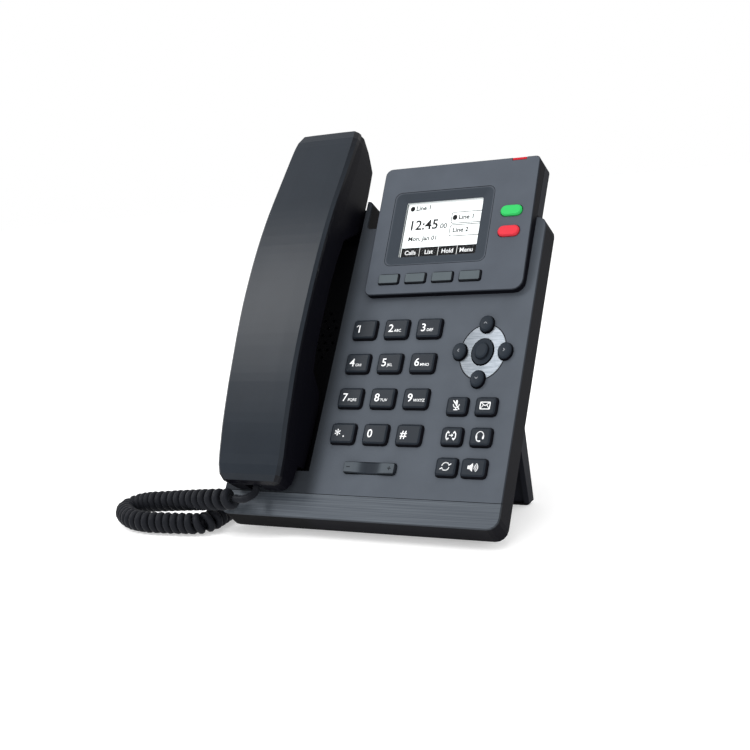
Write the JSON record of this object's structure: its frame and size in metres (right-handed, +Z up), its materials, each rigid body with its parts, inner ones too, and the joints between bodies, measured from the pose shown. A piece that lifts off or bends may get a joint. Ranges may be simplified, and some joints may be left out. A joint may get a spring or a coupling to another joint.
{
  "type": "desk ip phone",
  "caption": "Sloping desk phone on a rear stand, with a display head, sprung keypad and navigation keys, and a corded handset that lifts out of its cradle.",
  "frame": {"origin": "on the surface the phone stands on, below the centre of its bounding box, cord left out", "axes": "+X to the user's right, the phone faces -Y, +Z up"},
  "size_m": [0.251, 0.1491, 0.2162],
  "materials": {
    "body_plastic": "satin",
    "dark_plastic": "satin",
    "handset_plastic": "satin",
    "brushed_strip": "brushed",
    "clear_lens": "polished",
    "display_panel": "matt",
    "red_lens": "gloss",
    "satin_silver": "satin",
    "key_plastic": "satin",
    "green_key": "satin",
    "red_key": "satin",
    "membrane_rubber": "matt",
    "circuit_board": "matt",
    "capsule_metal": "satin",
    "socket_plastic": "satin",
    "clear_plastic": "clear",
    "cord_plastic": "satin",
    "foot_rubber": "matt",
    "screw_steel": "zinc plated"
  },
  "bodies": {
    "base": {"top_housing": "body_plastic", "front_trim_strip": "brushed_strip", "bottom_housing": "dark_plastic", "head_bezel": "body_plastic", "head_rear_cover": "dark_plastic", "display_lens": "clear_lens", "display_module": "display_panel", "message_light": "red_lens", "navigation_plate": "satin_silver", "keypad_membrane": "membrane_rubber", "main_board": "circuit_board", "speaker": "capsule_metal", "network_jacks": "socket_plastic", "audio_jacks": "socket_plastic", "power_jack": "socket_plastic", "housing_screw_left": "screw_steel", "housing_screw_right": "screw_steel", "stand": "dark_plastic", "stand_foot": "foot_rubber", "front_foot": "foot_rubber", "plug_base": "clear_plastic", "cord_lead_base": "cord_plastic", "cord_coil": "cord_plastic"},
    "handset": {"handset_outer_shell": "handset_plastic", "handset_inner_shell": "dark_plastic", "receiver_capsule": "capsule_metal", "microphone_capsule": "capsule_metal", "plug_handset": "clear_plastic", "cord_lead_handset": "cord_plastic"},
    "hook_lever": {"hook_lever": "dark_plastic"},
    "volume_rocker": {"volume_rocker": "key_plastic"},
    "key_1": {"key_1": "key_plastic"},
    "key_2": {"key_2": "key_plastic"},
    "key_3": {"key_3": "key_plastic"},
    "key_4": {"key_4": "key_plastic"},
    "key_5": {"key_5": "key_plastic"},
    "key_6": {"key_6": "key_plastic"},
    "key_7": {"key_7": "key_plastic"},
    "key_8": {"key_8": "key_plastic"},
    "key_9": {"key_9": "key_plastic"},
    "key_star": {"key_star": "key_plastic"},
    "key_0": {"key_0": "key_plastic"},
    "key_hash": {"key_hash": "key_plastic"},
    "key_mute": {"key_mute": "key_plastic"},
    "key_message": {"key_message": "key_plastic"},
    "key_transfer": {"key_transfer": "key_plastic"},
    "key_headset": {"key_headset": "key_plastic"},
    "key_redial": {"key_redial": "key_plastic"},
    "key_speaker": {"key_speaker": "key_plastic"},
    "key_up": {"key_up": "key_plastic"},
    "key_left": {"key_left": "key_plastic"},
    "key_right": {"key_right": "key_plastic"},
    "key_down": {"key_down": "key_plastic"},
    "key_ok": {"key_ok": "key_plastic"},
    "soft_key_1": {"soft_key_1": "key_plastic"},
    "soft_key_2": {"soft_key_2": "key_plastic"},
    "soft_key_3": {"soft_key_3": "key_plastic"},
    "soft_key_4": {"soft_key_4": "key_plastic"},
    "line_key_1": {"line_key_1": "green_key"},
    "line_key_2": {"line_key_2": "red_key"}
  },
  "joints": [
    {"name": "handset_lift", "type": "slide", "parent": "base", "child": "handset", "axis": [0, -0.8192, 0.5736], "range_m": [0, 0.04]},
    {"name": "hook_switch", "type": "slide", "parent": "base", "child": "hook_lever", "axis": [0, -0.8192, 0.5736], "range_m": [0, 0.0028]},
    {"name": "volume_rock", "type": "hinge", "parent": "base", "child": "volume_rocker", "pos_m": [0.0062, -0.04725, 0.03601], "axis": [0, 0.5736, 0.8192], "range_deg": [-3, 3], "stiffness_Nm_per_rad": 0.3},
    {"name": "key_1_press", "type": "slide", "parent": "base", "child": "key_1", "axis": [0, 0.8192, -0.5736], "range_m": [0, 0.0012], "stiffness_N_per_m": 250, "springref_m": -0.002},
    {"name": "key_2_press", "type": "slide", "parent": "base", "child": "key_2", "axis": [0, 0.8192, -0.5736], "range_m": [0, 0.0012], "stiffness_N_per_m": 250, "springref_m": -0.002},
    {"name": "key_3_press", "type": "slide", "parent": "base", "child": "key_3", "axis": [0, 0.8192, -0.5736], "range_m": [0, 0.0012], "stiffness_N_per_m": 250, "springref_m": -0.002},
    {"name": "key_4_press", "type": "slide", "parent": "base", "child": "key_4", "axis": [0, 0.8192, -0.5736], "range_m": [0, 0.0012], "stiffness_N_per_m": 250, "springref_m": -0.002},
    {"name": "key_5_press", "type": "slide", "parent": "base", "child": "key_5", "axis": [0, 0.8192, -0.5736], "range_m": [0, 0.0012], "stiffness_N_per_m": 250, "springref_m": -0.002},
    {"name": "key_6_press", "type": "slide", "parent": "base", "child": "key_6", "axis": [0, 0.8192, -0.5736], "range_m": [0, 0.0012], "stiffness_N_per_m": 250, "springref_m": -0.002},
    {"name": "key_7_press", "type": "slide", "parent": "base", "child": "key_7", "axis": [0, 0.8192, -0.5736], "range_m": [0, 0.0012], "stiffness_N_per_m": 250, "springref_m": -0.002},
    {"name": "key_8_press", "type": "slide", "parent": "base", "child": "key_8", "axis": [0, 0.8192, -0.5736], "range_m": [0, 0.0012], "stiffness_N_per_m": 250, "springref_m": -0.002},
    {"name": "key_9_press", "type": "slide", "parent": "base", "child": "key_9", "axis": [0, 0.8192, -0.5736], "range_m": [0, 0.0012], "stiffness_N_per_m": 250, "springref_m": -0.002},
    {"name": "key_star_press", "type": "slide", "parent": "base", "child": "key_star", "axis": [0, 0.8192, -0.5736], "range_m": [0, 0.0012], "stiffness_N_per_m": 250, "springref_m": -0.002},
    {"name": "key_0_press", "type": "slide", "parent": "base", "child": "key_0", "axis": [0, 0.8192, -0.5736], "range_m": [0, 0.0012], "stiffness_N_per_m": 250, "springref_m": -0.002},
    {"name": "key_hash_press", "type": "slide", "parent": "base", "child": "key_hash", "axis": [0, 0.8192, -0.5736], "range_m": [0, 0.0012], "stiffness_N_per_m": 250, "springref_m": -0.002},
    {"name": "key_mute_press", "type": "slide", "parent": "base", "child": "key_mute", "axis": [0, 0.8192, -0.5736], "range_m": [0, 0.0012], "stiffness_N_per_m": 250, "springref_m": -0.002},
    {"name": "key_message_press", "type": "slide", "parent": "base", "child": "key_message", "axis": [0, 0.8192, -0.5736], "range_m": [0, 0.0012], "stiffness_N_per_m": 250, "springref_m": -0.002},
    {"name": "key_transfer_press", "type": "slide", "parent": "base", "child": "key_transfer", "axis": [0, 0.8192, -0.5736], "range_m": [0, 0.0012], "stiffness_N_per_m": 250, "springref_m": -0.002},
    {"name": "key_headset_press", "type": "slide", "parent": "base", "child": "key_headset", "axis": [0, 0.8192, -0.5736], "range_m": [0, 0.0012], "stiffness_N_per_m": 250, "springref_m": -0.002},
    {"name": "key_redial_press", "type": "slide", "parent": "base", "child": "key_redial", "axis": [0, 0.8192, -0.5736], "range_m": [0, 0.0012], "stiffness_N_per_m": 250, "springref_m": -0.002},
    {"name": "key_speaker_press", "type": "slide", "parent": "base", "child": "key_speaker", "axis": [0, 0.8192, -0.5736], "range_m": [0, 0.0012], "stiffness_N_per_m": 250, "springref_m": -0.002},
    {"name": "key_up_press", "type": "slide", "parent": "base", "child": "key_up", "axis": [0, 0.8192, -0.5736], "range_m": [0, 0.0012], "stiffness_N_per_m": 250, "springref_m": -0.002},
    {"name": "key_left_press", "type": "slide", "parent": "base", "child": "key_left", "axis": [0, 0.8192, -0.5736], "range_m": [0, 0.0012], "stiffness_N_per_m": 250, "springref_m": -0.002},
    {"name": "key_right_press", "type": "slide", "parent": "base", "child": "key_right", "axis": [0, 0.8192, -0.5736], "range_m": [0, 0.0012], "stiffness_N_per_m": 250, "springref_m": -0.002},
    {"name": "key_down_press", "type": "slide", "parent": "base", "child": "key_down", "axis": [0, 0.8192, -0.5736], "range_m": [0, 0.0012], "stiffness_N_per_m": 250, "springref_m": -0.002},
    {"name": "key_ok_press", "type": "slide", "parent": "base", "child": "key_ok", "axis": [0, 0.8192, -0.5736], "range_m": [0, 0.0012], "stiffness_N_per_m": 250, "springref_m": -0.002},
    {"name": "soft_key_1_press", "type": "slide", "parent": "base", "child": "soft_key_1", "axis": [0, 0.8448, -0.5351], "range_m": [0, 0.0009], "stiffness_N_per_m": 250, "springref_m": -0.002},
    {"name": "soft_key_2_press", "type": "slide", "parent": "base", "child": "soft_key_2", "axis": [0, 0.8448, -0.5351], "range_m": [0, 0.0009], "stiffness_N_per_m": 250, "springref_m": -0.002},
    {"name": "soft_key_3_press", "type": "slide", "parent": "base", "child": "soft_key_3", "axis": [0, 0.8448, -0.5351], "range_m": [0, 0.0009], "stiffness_N_per_m": 250, "springref_m": -0.002},
    {"name": "soft_key_4_press", "type": "slide", "parent": "base", "child": "soft_key_4", "axis": [0, 0.8448, -0.5351], "range_m": [0, 0.0009], "stiffness_N_per_m": 250, "springref_m": -0.002},
    {"name": "line_key_1_press", "type": "slide", "parent": "base", "child": "line_key_1", "axis": [0, 0.8448, -0.5351], "range_m": [0, 0.0009], "stiffness_N_per_m": 250, "springref_m": -0.002},
    {"name": "line_key_2_press", "type": "slide", "parent": "base", "child": "line_key_2", "axis": [0, 0.8448, -0.5351], "range_m": [0, 0.0009], "stiffness_N_per_m": 250, "springref_m": -0.002}
  ],
  "couplings": [
    {"joint": "hook_switch", "follows": "handset_lift", "ratio": 0.07}
  ]
}
